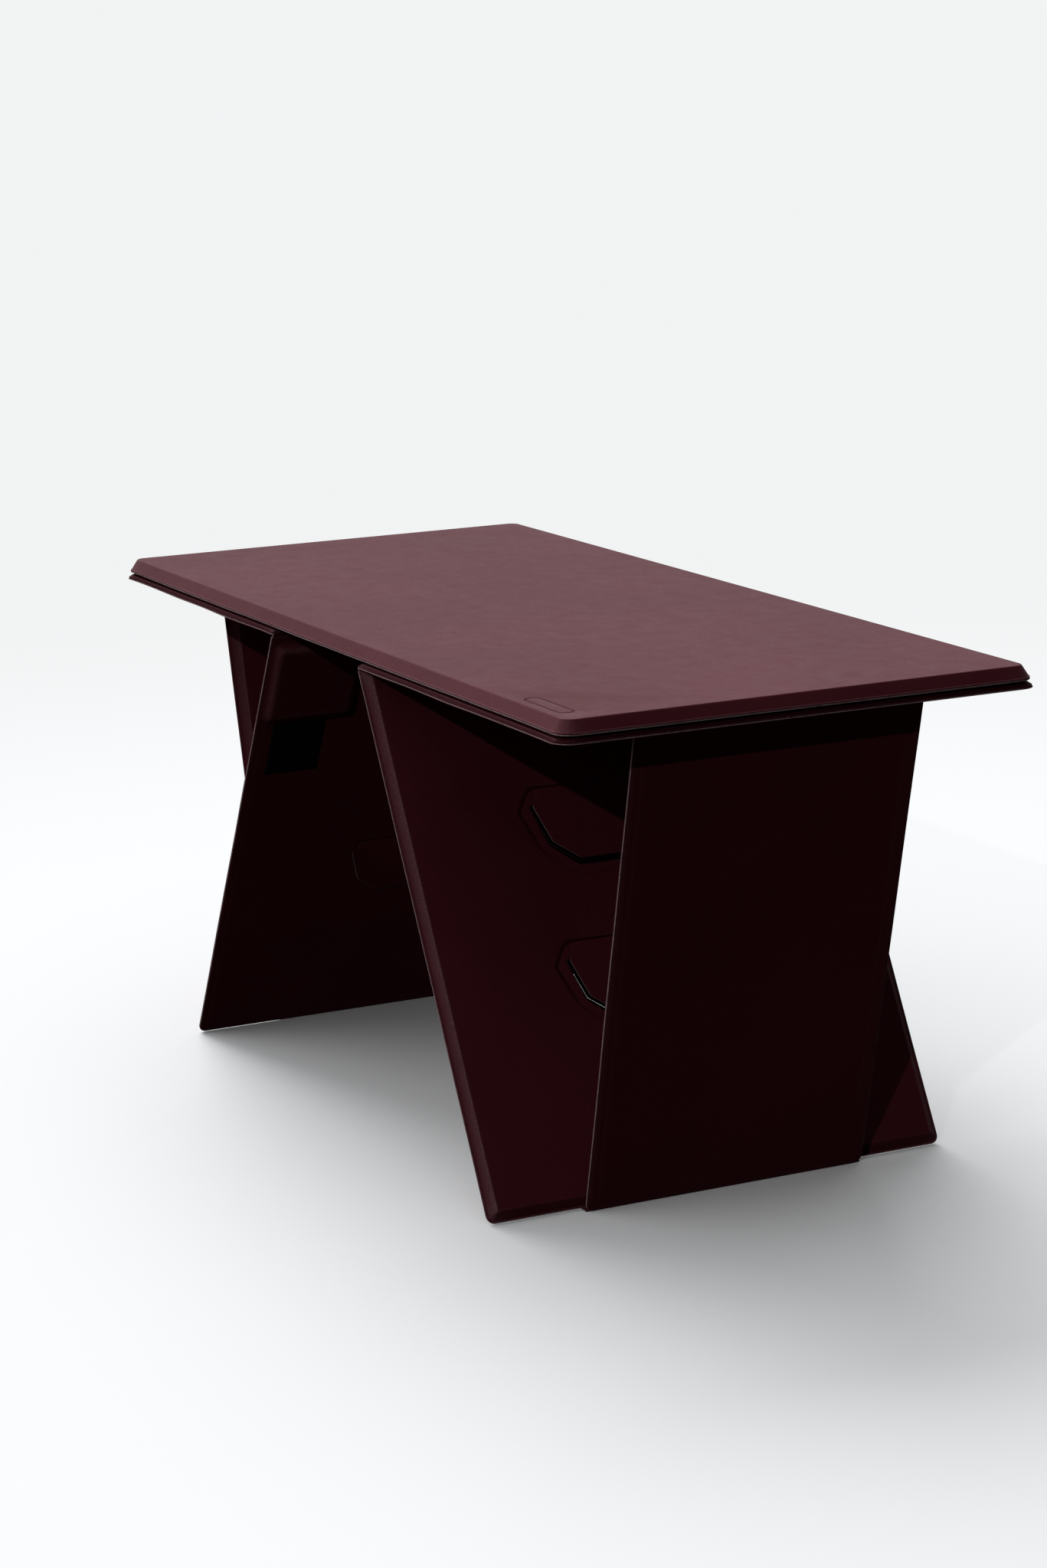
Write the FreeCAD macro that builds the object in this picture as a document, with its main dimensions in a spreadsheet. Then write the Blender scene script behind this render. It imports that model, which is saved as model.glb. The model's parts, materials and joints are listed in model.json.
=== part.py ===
import FreeCAD, Part
import math
import os

import Sketcher
from FreeCAD import Placement, Rotation, Vector

# Folding standing desk converter.
# A flat worktop board carries two leg units. Each leg unit is one chain of
# leather covered panels: a mount panel held by magnets under the board, an
# inner panel that hangs from the mount panel's inner edge and leans outwards
# to the desk, and a narrower outer panel that stands beside the inner panel's
# foot and leans out to prop the mount panel near the end of the board.
# Frame: millimetres, origin on the desk under the middle of the board,
# +X along the board towards the right-hand end, +Y to the back, +Z up.
# The two leg units are the same unit, turned half a turn about +Z.

doc = FreeCAD.newDocument("standing_desk_converter")
sheet = doc.addObject("Spreadsheet::Sheet", "dims")

# alias, value, note
CELLS = [
    # worktop board
    ("top_z", 300.5, "worktop face above the desk"),
    ("under_z", 287.9, "underside of the mount panels above the desk"),
    ("board_length", 645.4, "board outline length, lip to lip"),
    ("board_depth", 289.4, "board outline depth, lip to lip"),
    ("board_low", 292.4, "underside of the board above the desk"),
    ("board_corner", 11.0, "corner radius of the board and the mount panels' outer ends"),
    ("board_skin", 0.8, "board leather thickness"),
    ("board_step", 1.3, "flat lip width outside the board bevel"),
    ("board_bevel", 4.7, "board bevel, face edge in from the outline"),
    # leg panels, shared
    ("skin", 0.7, "leg leather thickness"),
    ("panel_depth", 292.0, "mount and inner panel depth"),
    ("foot_corner", 5.0, "corner radius at the foot of a leg panel"),
    ("tight_corner", 2.0, "corner radius at the other panel ends and on the patch"),
    ("least_radius", 1.0, "smallest corner radius of an outline moved inwards"),
    ("step", 1.5, "flat lip width outside a leg panel bevel"),
    # mount panel
    ("fold_x", 64.0, "inner fold line from the middle"),
    ("mount_end", 323.0, "outer end of the mount panel from the middle"),
    ("mount_thick", 4.5, "mount panel thickness"),
    ("mount_bevel", 4.6, "mount panel bevel width from the outline"),
    # inner panel
    ("foot_x", 220.0, "inner panel foot line from the middle"),
    ("inner_length", 327.4497, "fold line to foot line along the inner panel"),
    ("inner_tilt", 28.4506, "inner panel lean from upright, degrees"),
    ("inner_thick", 5.0, "inner panel thickness"),
    ("inner_bevel", 5.7, "inner panel bevel width from the outline"),
    ("fold_gap", 1.1, "inner panel short of the fold line"),
    # outer panel
    ("outer_foot_x", 227.5, "outer panel foot line from the middle"),
    ("outer_top_x", 297.0, "outer panel top line from the middle"),
    ("outer_length", 296.1695, "top line to foot line along the outer panel"),
    ("outer_tilt", 13.5713, "outer panel lean from upright, degrees"),
    ("outer_depth", 178.0, "outer panel depth"),
    ("outer_thick", 4.4, "outer panel thickness"),
    ("outer_bevel", 7.5, "outer panel bevel width from the outline"),
    ("tip_gap", 0.6, "outer panel tip short of its top line"),
    # push tabs in the inner panel, measured down from the fold line
    ("tab_upper", 85.4, "fold line to the upper tab's hinge crease"),
    ("tab_pitch", 92.2, "upper crease to lower crease"),
    ("tab_neck", 57.5, "half width at the crease"),
    ("tab_wide", 60.8, "half width at the widest point"),
    ("tab_mid", 53.3, "half width at the lower side's end"),
    ("tab_foot", 38.0, "half width of the bottom edge"),
    ("tab_shoulder", 10.1, "crease to the widest point"),
    ("tab_side", 32.4, "crease to the end of the lower side"),
    ("tab_deep", 44.0, "crease to the bottom edge"),
    ("tab_cut", 3.0, "width of the die cut round the lower sides"),
    ("tab_crease", 1.0, "gap at the hinge crease"),
    ("tab_shy", 0.25, "tab face below the panel face"),
    # stowage pad and hook-and-loop patch on the inter-leg face
    ("pad_near", 7.0, "fold line to the pad"),
    ("pad_far", 69.0, "fold line to the pad's far edge"),
    ("pad_side", 144.0, "pad's outer edge from the panel centre line"),
    ("pad_inner", 82.0, "pad's inner edge from the panel centre line"),
    ("pad_high", 4.4, "pad height"),
    ("pad_corner", 8.0, "pad corner radius"),
    ("pad_bevel", 5.0, "pad bevel width"),
    ("patch_near", 70.6, "fold line to the patch"),
    ("patch_far", 110.4, "fold line to the patch's far edge"),
    ("patch_side", 134.0, "patch's outer edge from the centre line"),
    ("patch_inner", 99.0, "patch's inner edge from the centre line"),
    ("patch_high", 0.6, "patch thickness"),
    # magnets and keeper plates
    ("magnet_radius", 6.0, "mount magnet radius"),
    ("magnet_high", 2.4, "mount magnet height"),
    ("keeper_radius", 8.0, "keeper plate radius"),
    ("keeper_high", 1.4, "keeper plate height"),
    ("magnet_x_near", 88.0, "inner magnet column from the middle"),
    ("magnet_x_mid", 186.0, "middle magnet column from the middle"),
    ("magnet_x_far", 276.0, "outer magnet column from the middle"),
    ("magnet_y", 118.0, "magnet rows from the centre line"),
    ("bar_length", 24.0, "catch magnet bar length"),
    ("bar_wide", 8.0, "catch magnet bar width"),
    ("bar_high", 2.0, "catch magnet bar height"),
    ("bar_pitch", 60.0, "catch magnet bar spacing"),
    ("bar_drop", 14.0, "catch bar's near edge from the outer panel's top line"),
    ("catch_x", 290.0, "catch strip's inner edge from the middle"),
    ("catch_wide", 14.0, "catch strip width"),
    ("catch_length", 160.0, "catch strip length"),
    ("catch_high", 1.0, "catch strip thickness"),
    ("pad_magnet_radius", 10.0, "pad magnet radius"),
    ("pad_magnet_high", 2.2, "pad magnet height"),
    ("slack", 0.05, "clearance round loose inserts"),
    # leather webs
    ("web_high", 0.6, "hinge web thickness"),
    ("web_gap", 0.25, "foot web short of the outer panel"),
    ("web_trim", 1.36, "further trim of the foot web on the outer panel's side"),
    ("fold_inset", 2.0, "fold web short of the panel depth at each end"),
    ("fold_clear", 0.1, "fold web inside the two leathers, above and below"),
]


class Dim:
    """A driving dimension: the expression text and its present value."""

    def __init__(self, text, value):
        self.text = text
        self.value = value

    def _other(self, other):
        if isinstance(other, Dim):
            return other.text, other.value
        return "%.6g" % other, float(other)

    def __add__(self, other):
        text, value = self._other(other)
        return Dim("(%s + %s)" % (self.text, text), self.value + value)

    def __sub__(self, other):
        text, value = self._other(other)
        return Dim("(%s - %s)" % (self.text, text), self.value - value)

    def __mul__(self, other):
        text, value = self._other(other)
        return Dim("(%s * %s)" % (self.text, text), self.value * value)

    def __neg__(self):
        return self * -1


class Dims:
    """Holds one Dim for each sheet alias, as an attribute of the same name."""


dims = Dims()
for row, (alias, number, note) in enumerate(CELLS, start=1):
    sheet.set("A%d" % row, note)
    sheet.set("B%d" % row, str(number))
    sheet.setAlias("B%d" % row, alias)
    setattr(dims, alias, Dim("dims." + alias, number))
doc.recompute()

ZERO = Dim("0", 0.0)
# How far the core sits inside its cover, as shares of the leather thickness
BASE_SHARE = 0.9
FACE_SHARE = 0.6
# Share of the die cut's width added at the corners of a tab's bottom edge
CUT_SLANT = 0.35
# Stowage pad: rim height over leather thickness, radius loss over bevel width
RIM_SHARE = 1.2
PAD_RADIUS_SHARE = 0.6

AS_MODELLED = Placement()
HALF_TURN = Placement(Vector(0, 0, 0), Rotation(Vector(0, 0, 1), 180))
MAGNET_COLUMNS = (dims.magnet_x_near, dims.magnet_x_mid, dims.magnet_x_far)

nodes = []


# -------------------------------------------------------------------- sketches
def bind(obj, prop, dim):
    obj.setExpression(prop, dim.text)


def sketch_at(body, name, lift=None):
    """A sketch on the body's own XY plane, lifted along +Z."""
    sketch = body.newObject("Sketcher::SketchObject", name)
    plane = [f for f in body.Origin.OriginFeatures if f.Role == "XY_Plane"][0]
    sketch.AttachmentSupport = [(plane, "")]
    sketch.MapMode = "FlatFace"
    if lift is not None:
        sketch.AttachmentOffset = Placement(Vector(0, 0, lift.value), Rotation())
        bind(sketch, ".AttachmentOffset.Base.z", lift)
    sketch.Visibility = False
    return sketch


def hold(sketch, dim, kind, *refs):
    """Adds a dimensional constraint driven by the sheet."""
    index = sketch.addConstraint(Sketcher.Constraint(kind, *refs, dim.value))
    sketch.setExpression("Constraints[%d]" % index, dim.text)


def line(ax, ay, bx, by):
    return Part.LineSegment(Vector(ax, ay, 0), Vector(bx, by, 0))


def quarter(x, y, radius, start):
    """Quarter circle about x, y, running anticlockwise from start degrees."""
    circle = Part.Circle(Vector(x, y, 0), Vector(0, 0, 1), radius)
    return Part.ArcOfCircle(circle, math.radians(start), math.radians(start + 90))


def rounded(sketch, x0, x1, y0, y1, radii):
    """Rectangle with rounded corners; radii run (x0,y0) (x1,y0) (x1,y1) (x0,y1)."""
    left, right, low, high = x0.value, x1.value, y0.value, y1.value
    ra, rb, rc, rd = [radius.value for radius in radii]
    sketch.addGeometry(
        [
            line(left + ra, low, right - rb, low),
            quarter(right - rb, low + rb, rb, 270),
            line(right, low + rb, right, high - rc),
            quarter(right - rc, high - rc, rc, 0),
            line(right - rc, high, left + rd, high),
            quarter(left + rd, high - rd, rd, 90),
            line(left, high - rd, left, low + ra),
            quarter(left + ra, low + ra, ra, 180),
        ],
        False,
    )
    for i in range(8):
        sketch.addConstraint(Sketcher.Constraint("Tangent", i, 2, (i + 1) % 8, 1))
    for i in (0, 4):
        sketch.addConstraint(Sketcher.Constraint("Horizontal", i))
    for i in (2, 6):
        sketch.addConstraint(Sketcher.Constraint("Vertical", i))
    hold(sketch, y0, "DistanceY", -1, 1, 0, 1)
    hold(sketch, x1, "DistanceX", -1, 1, 2, 1)
    hold(sketch, y1, "DistanceY", -1, 1, 4, 1)
    hold(sketch, x0, "DistanceX", -1, 1, 6, 1)
    for i, corner in ((1, 1), (3, 2), (5, 3), (7, 0)):
        hold(sketch, radii[corner], "Radius", i)


def polygons(sketch, outlines):
    """Closed polygons, each corner held by its two distances from the origin."""
    for points in outlines:
        first = sketch.GeometryCount
        count = len(points)
        for i, (x, y) in enumerate(points):
            next_x, next_y = points[(i + 1) % count]
            sketch.addGeometry(line(x.value, y.value, next_x.value, next_y.value), False)
        for i in range(count):
            after = first + (i + 1) % count
            sketch.addConstraint(Sketcher.Constraint("Coincident", first + i, 2, after, 1))
        for i, (x, y) in enumerate(points):
            hold(sketch, x, "DistanceX", -1, 1, first + i, 1)
            hold(sketch, y, "DistanceY", -1, 1, first + i, 1)


def circles(sketch, centres, radius):
    for x, y in centres:
        circle = Part.Circle(Vector(x.value, y.value, 0), Vector(0, 0, 1), radius.value)
        i = sketch.addGeometry(circle, False)
        hold(sketch, x, "DistanceX", -1, 1, i, 3)
        hold(sketch, y, "DistanceY", -1, 1, i, 3)
        hold(sketch, radius, "Radius", i)


def outline_at(body, name, lift, outline):
    """A lifted sketch of a rounded rectangle (x0, x1, y0, y1, radii)."""
    sketch = sketch_at(body, name, lift)
    rounded(sketch, *outline)
    return sketch


def shrunk(outline, inset, radius_loss=None):
    """The outline moved inwards; its corner radii shrink by the inset or radius_loss."""
    x0, x1, y0, y1, radii = outline
    least = dims.least_radius
    smaller = [radius - (radius_loss or inset) for radius in radii]
    radii = [
        Dim("max(%s; %s)" % (r.text, least.text), max(r.value, least.value)) for r in smaller
    ]
    return x0 + inset, x1 - inset, y0 + inset, y1 - inset, radii


def slot(x0, x1, y0, y1):
    """Rectangle corners, with the insert's slack added all round."""
    slack = dims.slack
    x0, x1, y0, y1 = x0 - slack, x1 + slack, y0 - slack, y1 + slack
    return [(x0, y0), (x1, y0), (x1, y1), (x0, y1)]


# -------------------------------------------------------------------- features
def new_body(label):
    return doc.addObject("PartDesign::Body", label)


def pad(body, sketch, length, name):
    feature = body.newObject("PartDesign::Pad", name)
    feature.Profile = sketch
    feature.Length = length.value
    bind(feature, "Length", length)


def pocket(body, sketch, name, depth=None, upward=False):
    """Pocket, right through if no depth is given; one that misses the solid is an error."""
    doc.recompute()
    before = body.Shape.Volume
    feature = body.newObject("PartDesign::Pocket", name)
    feature.Profile = sketch
    if depth is None:
        feature.Type = "ThroughAll"
    else:
        feature.Length = depth.value
        bind(feature, "Length", depth)
    feature.Reversed = upward
    doc.recompute()
    if not body.Shape.Volume < before - 1e-3:
        raise RuntimeError("%s cuts nothing" % name)


def loft(body, low, high, name, kind="Additive"):
    feature = body.newObject("PartDesign::%sLoft" % kind, name)
    feature.Profile = low
    feature.Sections = [high]
    feature.Ruled = True


def cut_openings(body, label, openings, lift):
    for i, points in enumerate(openings):
        sketch = sketch_at(body, "%s_open%d" % (label, i), lift)
        polygons(sketch, [points])
        pocket(body, sketch, "%s_cut%d" % (label, i))


def done(obj, label, place=AS_MODELLED):
    """Labels and places a finished piece and lists it for export."""
    obj.Label = label
    obj.Placement = place
    nodes.append(obj)


def group(label, shapes, place=AS_MODELLED):
    """One or more loose solids written as one piece."""
    compound = doc.addObject("Part::Compound", label)
    compound.Links = shapes
    done(compound, label, place)


def bind_base(obj, base):
    for axis, dim in zip("xyz", base):
        bind(obj, ".Placement.Base." + axis, dim)


def disc(name, base, radius, height):
    cylinder = doc.addObject("Part::Cylinder", name)
    bind(cylinder, "Radius", radius)
    bind(cylinder, "Height", height)
    bind_base(cylinder, base)
    return cylinder


def block(name, base, size):
    box = doc.addObject("Part::Box", name)
    for prop, dim in zip(("Length", "Width", "Height"), size):
        bind(box, prop, dim)
    bind_base(box, base)
    return box


# ---------------------------------------------------------------------- panels
def core_outlines(outline, skin, step, bevel):
    """The core's outlines at its base and at its face."""
    return (
        shrunk(outline, step + skin * BASE_SHARE),
        shrunk(outline, bevel + skin * FACE_SHARE),
    )


def make_core(label, outline, low, high, skin, step, bevel, place, openings, seats):
    """Stiff board inside a panel: flat below, bevelled all round above.

    Each seat is (draw function, its shape arguments, lift, depth, upward)."""
    body = new_body(label)
    base_outline, face_outline = core_outlines(outline, skin, step, bevel)
    base = outline_at(body, label + "_base", low, base_outline)
    face = outline_at(body, label + "_face", high, face_outline)
    loft(body, base, face, label + "_loft")
    cut_openings(body, label, openings, high)
    for i, (draw, shape, lift, depth, upward) in enumerate(seats):
        sketch = sketch_at(body, "%s_seat%d" % (label, i), lift)
        draw(sketch, *shape)
        pocket(body, sketch, "%s_seatcut%d" % (label, i), depth + dims.slack, upward)
    done(body, label, place)


def make_base_skin(label, outline, low, skin, place, openings):
    """Flat base leather, cut to the panel outline."""
    body = new_body(label)
    sketch = outline_at(body, label + "_outline", low, outline)
    pad(body, sketch, skin, label + "_pad")
    cut_openings(body, label, openings, low + skin)
    done(body, label, place)


def make_cover(label, outline, low, high, skin, step, bevel, place, openings):
    """Moulded cover leather: a flange on the base skin, a bevel and a flat face."""
    body = new_body(label)
    flange = outline_at(body, label + "_flange", low, outline)
    pad(body, flange, skin, label + "_pad")
    base = outline_at(body, label + "_bevelbase", low + skin, shrunk(outline, step))
    face = outline_at(body, label + "_bevelface", high + skin, shrunk(outline, bevel))
    loft(body, base, face, label + "_bevel")

    base_outline, face_outline = core_outlines(outline, skin, step, bevel)
    base = outline_at(body, label + "_hollowbase", low, base_outline)
    face = outline_at(body, label + "_hollowface", high, face_outline)
    doc.recompute()
    before = body.Shape.Volume
    loft(body, base, face, label + "_hollow", "Subtractive")
    doc.recompute()
    if not body.Shape.Volume < before * 0.8:
        raise RuntimeError(label + " isn't hollow")

    cut_openings(body, label, openings, high + skin)
    done(body, label, place)


def make_panel(name, outline, low, thick, skin, step, bevel, place, openings=(), seats=()):
    """Core, base skin and cover of one panel; low and thick include the leather."""
    core_low = low + skin
    core_high = core_low + (thick - skin * 2)
    build = (outline, core_low, core_high, skin, step, bevel, place, openings)
    make_core(name + "_core", *build, seats)
    make_base_skin(name + "_base_skin", outline, low, skin, place, openings)
    make_cover(name + "_cover", *build)


# --------------------------------------------------------------- worktop board
def make_board():
    """Worktop board, with keeper plates let into the core's underside."""
    half_length = dims.board_length * 0.5
    half_depth = dims.board_depth * 0.5
    outline = (-half_length, half_length, -half_depth, half_depth, [dims.board_corner] * 4)
    core_low = dims.board_low + dims.board_skin
    centres = [
        (x * end, dims.magnet_y * row)
        for end in (1, -1)
        for x in MAGNET_COLUMNS
        for row in (1, -1)
    ]
    seat = (centres, dims.keeper_radius + dims.slack)
    make_panel(
        "top_board", outline, dims.board_low, dims.top_z - dims.board_low,
        dims.board_skin, dims.board_step, dims.board_bevel, AS_MODELLED,
        seats=[(circles, seat, core_low, dims.keeper_high, True)],
    )
    plates = [
        disc("keeper%d" % i, (x, y, core_low), dims.keeper_radius, dims.keeper_high)
        for i, (x, y) in enumerate(centres)
    ]
    group("board_keeper_plates", plates)


# ------------------------------------------------------------------- leg units
def lean(side, x, z, tilt, top_inwards):
    """Placement of a panel frame: +X up the panel, +Z towards the inside of the leg."""
    turn = Rotation(Vector(0, 1, 0), -(90.0 - tilt.value))
    if top_inwards != (side < 0):
        turn = HALF_TURN.Rotation.multiply(turn)
    return Placement(Vector(side * x.value, 0, z.value), turn)


def make_mount(name, turn):
    """Mount panel, flat under the board, with its magnets, catch strip and fold web.

    Modelled at the left end and turned for the right."""
    half_depth = dims.panel_depth * 0.5
    wide, tight = dims.board_corner, dims.tight_corner
    outline = (-dims.mount_end, -dims.fold_x, -half_depth, half_depth, [wide, tight, tight, wide])
    core_low = dims.under_z + dims.skin
    core_high = core_low + (dims.mount_thick - dims.skin * 2)
    centres = [(-x, dims.magnet_y * row) for x in MAGNET_COLUMNS for row in (1, -1)]
    magnet_seat = (centres, dims.magnet_radius + dims.slack)
    catch_end = -(dims.catch_x + dims.catch_wide)
    catch_half = dims.catch_length * 0.5
    catch_slot = slot(catch_end, -dims.catch_x, -catch_half, catch_half)
    make_panel(
        name + "_mount", outline, dims.under_z, dims.mount_thick,
        dims.skin, dims.step, dims.mount_bevel, turn,
        seats=[
            (circles, magnet_seat, core_high, dims.magnet_high, False),
            (polygons, ([catch_slot],), core_low, dims.catch_high, True),
        ],
    )
    magnets = [
        disc(
            "%s_mountmag%d" % (name, i), (x, y, core_high - dims.magnet_high),
            dims.magnet_radius, dims.magnet_high,
        )
        for i, (x, y) in enumerate(centres)
    ]
    group(name + "_mount_magnets", magnets, turn)
    catch = block(
        name + "_catch_strip",
        (catch_end, -catch_half, core_low),
        (dims.catch_wide, dims.catch_length, dims.catch_high),
    )
    group(name + "_catch_plate", [catch], turn)

    # leather strip closing the mount panel's inner edge at the fold line
    inset, clear = dims.fold_inset, dims.fold_clear
    fold = block(
        name + "_fold_strip",
        (-dims.fold_x, -(half_depth - inset), dims.under_z + clear),
        (dims.web_high, dims.panel_depth - inset * 2, dims.skin * 2 - clear * 2),
    )
    group(name + "_fold_web", [fold], turn)


def tab_points(hinge, margin, crease):
    """Tab outline, or with a margin the die cut round it; hinge is its crease line."""
    slant = margin * CUT_SLANT
    # distance up the panel, half width
    rows = [
        (-(hinge - crease), dims.tab_neck),
        (-(hinge + dims.tab_shoulder), dims.tab_wide + margin),
        (-(hinge + dims.tab_side + slant), dims.tab_mid + margin),
        (-(hinge + dims.tab_deep + margin), dims.tab_foot + slant),
    ]
    return [(x, -y) for x, y in rows] + [(x, y) for x, y in reversed(rows)]


def make_inner(name, place):
    """Inner panel with its two push tabs; frame origin on the fold line."""
    half_depth = dims.panel_depth * 0.5
    foot, tight = dims.foot_corner, dims.tight_corner
    outline = (
        -dims.inner_length, -dims.fold_gap, -half_depth, half_depth, [foot, tight, tight, foot],
    )
    hinges = (dims.tab_upper, dims.tab_upper + dims.tab_pitch)
    make_panel(
        name + "_inner", outline, ZERO, dims.inner_thick,
        dims.skin, dims.step, dims.inner_bevel, place,
        openings=[tab_points(hinge, dims.tab_cut, dims.tab_crease) for hinge in hinges],
    )
    for hinge, level in zip(hinges, ("upper", "lower")):
        label = "%s_%s_tab" % (name, level)
        body = new_body(label)
        sketch = sketch_at(body, label + "_outline", dims.tab_shy)
        polygons(sketch, [tab_points(hinge, ZERO, ZERO)])
        pad(body, sketch, dims.inner_thick - dims.tab_shy * 2, label + "_pad")
        done(body, label, place)


def make_stowage_pad(name, place):
    """Bevelled pad on the inner panel's inter-leg face, with a magnet let into its back."""
    label = name + "_stowage_pad"
    body = new_body(label)
    outline = (
        -dims.pad_far, -dims.pad_near, -dims.pad_side, -dims.pad_inner, [dims.pad_corner] * 4,
    )
    rim = dims.skin * RIM_SHARE
    face_outline = shrunk(outline, dims.pad_bevel, dims.pad_bevel * PAD_RADIUS_SHARE)
    face = outline_at(body, label + "_face", -dims.pad_high, face_outline)
    waist = outline_at(body, label + "_waist", -rim, outline)
    loft(body, face, waist, label + "_bevel")
    pad(body, waist, rim, label + "_rim")

    x = -((dims.pad_near + dims.pad_far) * 0.5)
    y = -((dims.pad_side + dims.pad_inner) * 0.5)
    height = dims.pad_magnet_high
    seat = sketch_at(body, label + "_seat")
    circles(seat, [(x, y)], dims.pad_magnet_radius + dims.slack)
    pocket(body, seat, label + "_seatcut", height + dims.slack)
    done(body, label, place)
    magnet = disc(name + "_padmag", (x, y, -height), dims.pad_magnet_radius, height)
    group(name + "_pad_magnet", [magnet], place)


def make_hook_patch(name, place):
    """Hook-and-loop patch below the stowage pad."""
    label = name + "_hook_patch"
    body = new_body(label)
    outline = (
        -dims.patch_far, -dims.patch_near, -dims.patch_side, -dims.patch_inner,
        [dims.tight_corner] * 4,
    )
    sketch = outline_at(body, name + "_patch_outline", -dims.patch_high, outline)
    pad(body, sketch, dims.patch_high, name + "_patch_pad")
    done(body, label, place)


def make_foot_web(name, turn):
    """Leather strip between the two foot lines, resting on the desk.

    Modelled at the right end and turned for the left."""
    wedge = doc.addObject("Part::Wedge", name + "_foot_strip")
    # the edge at the inner panel's foot slopes outwards as it rises
    slope = math.tan(math.radians(dims.inner_tilt.value))
    lead = Dim("(dims.web_high / tan(dims.inner_tilt))", dims.web_high.value / slope)
    wide = dims.outer_foot_x - dims.foot_x - dims.web_trim - dims.web_gap - dims.slack
    sides = {
        "Xmin": ZERO, "Xmax": wide,
        "Zmin": ZERO, "Zmax": dims.outer_depth,
        "Ymin": ZERO, "Ymax": dims.web_high,
        "X2min": lead, "X2max": wide,
        "Z2min": ZERO, "Z2max": dims.outer_depth,
    }
    for prop, dim in sides.items():
        bind(wedge, prop, dim)
    # the wedge's height axis is its own Y, so it is turned to point up
    start = Vector((dims.foot_x + dims.slack).value, (dims.outer_depth * 0.5).value, 0)
    wedge.Placement = Placement(start, Rotation(Vector(1, 0, 0), 90))
    group(name + "_foot_web", [wedge], turn)


def make_outer(name, place):
    """Outer panel with three catch magnet bars; frame origin on its top line."""
    half_depth = dims.outer_depth * 0.5
    foot, tight = dims.foot_corner, dims.tight_corner
    outline = (
        -dims.outer_length, -dims.tip_gap, -half_depth, half_depth, [foot, tight, tight, foot],
    )
    far = -(dims.bar_drop + dims.bar_wide)
    half_bar = dims.bar_length * 0.5
    middles = [dims.bar_pitch * i for i in (-1, 0, 1)]
    slots = [slot(far, -dims.bar_drop, y - half_bar, y + half_bar) for y in middles]
    make_panel(
        name + "_outer", outline, ZERO, dims.outer_thick,
        dims.skin, dims.step, dims.outer_bevel, place,
        seats=[(polygons, (slots,), dims.skin, dims.bar_high, True)],
    )
    bars = [
        block(
            "%s_bar%d" % (name, i), (far, y - half_bar, dims.skin),
            (dims.bar_wide, dims.bar_length, dims.bar_high),
        )
        for i, y in enumerate(middles)
    ]
    group(name + "_outer_magnets", bars, place)


def make_leg(name, side):
    """One leg unit; side is 1 for the right-hand end and -1 for the left."""
    inner_place = lean(side, dims.fold_x, dims.under_z, dims.inner_tilt, True)
    outer_place = lean(side, dims.outer_top_x, dims.under_z, dims.outer_tilt, False)
    make_mount(name, HALF_TURN if side > 0 else AS_MODELLED)
    make_inner(name, inner_place)
    make_stowage_pad(name, inner_place)
    make_hook_patch(name, inner_place)
    make_foot_web(name, AS_MODELLED if side > 0 else HALF_TURN)
    make_outer(name, outer_place)


make_board()
make_leg("right", 1)
make_leg("left", -1)

# ------------------------------------------------------------- check and write
doc.recompute()
bad = [o.Name for o in doc.Objects if "Invalid" in o.State or "Error" in o.State]
if bad:
    raise RuntimeError("failed objects: %s" % bad)
labels = [node.Label for node in nodes]
if len(set(labels)) != len(labels):
    raise RuntimeError("labels repeat")
for node in nodes:
    if node.Shape.isNull() or not node.Shape.isValid() or not node.Shape.Solids:
        raise RuntimeError("bad shape: " + node.Label)
os.makedirs("parts", exist_ok=True)
for node in nodes:
    node.Shape.exportStep("parts/%s.step" % node.Label)
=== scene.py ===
"""A folding worktop: a leather-covered board on two folding leather legs.

The board lies level with its face up (+Z). The right leg stands at +X, the left leg at -X,
and every fold runs along Y. Each leg has a mount panel under the board, an inner panel with
two push tabs, and an outer panel joined to the inner one at the foot.
Shapes are drawn in millimetres in a panel's own frame and placed in metres.
"""
import json
import math
from collections import namedtuple
from dataclasses import dataclass

import bmesh
import bpy
from mathutils import Matrix, Vector, geometry, noise


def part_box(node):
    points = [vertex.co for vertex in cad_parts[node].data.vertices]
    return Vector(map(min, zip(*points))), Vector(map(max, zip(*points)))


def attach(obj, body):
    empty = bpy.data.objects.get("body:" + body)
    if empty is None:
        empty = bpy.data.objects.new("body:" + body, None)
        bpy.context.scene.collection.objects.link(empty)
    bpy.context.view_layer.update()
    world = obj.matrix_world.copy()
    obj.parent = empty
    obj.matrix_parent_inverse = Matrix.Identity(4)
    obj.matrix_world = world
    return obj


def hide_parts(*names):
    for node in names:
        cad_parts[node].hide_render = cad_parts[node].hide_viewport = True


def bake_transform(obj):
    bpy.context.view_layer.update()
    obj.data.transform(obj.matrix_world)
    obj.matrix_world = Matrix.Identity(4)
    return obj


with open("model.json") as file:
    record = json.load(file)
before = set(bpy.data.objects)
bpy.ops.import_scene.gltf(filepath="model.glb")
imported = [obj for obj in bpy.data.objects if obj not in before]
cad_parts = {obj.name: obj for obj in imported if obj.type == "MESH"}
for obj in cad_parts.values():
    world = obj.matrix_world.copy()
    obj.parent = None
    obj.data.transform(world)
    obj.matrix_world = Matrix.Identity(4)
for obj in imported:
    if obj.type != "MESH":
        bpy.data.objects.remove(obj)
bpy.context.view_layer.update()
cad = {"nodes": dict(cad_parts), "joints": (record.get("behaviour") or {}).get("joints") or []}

MM = 0.001
WORLD = Matrix.Identity(4)
NODES = cad["nodes"]
JOINTS = {joint["name"]: joint for joint in cad["joints"]}


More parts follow.
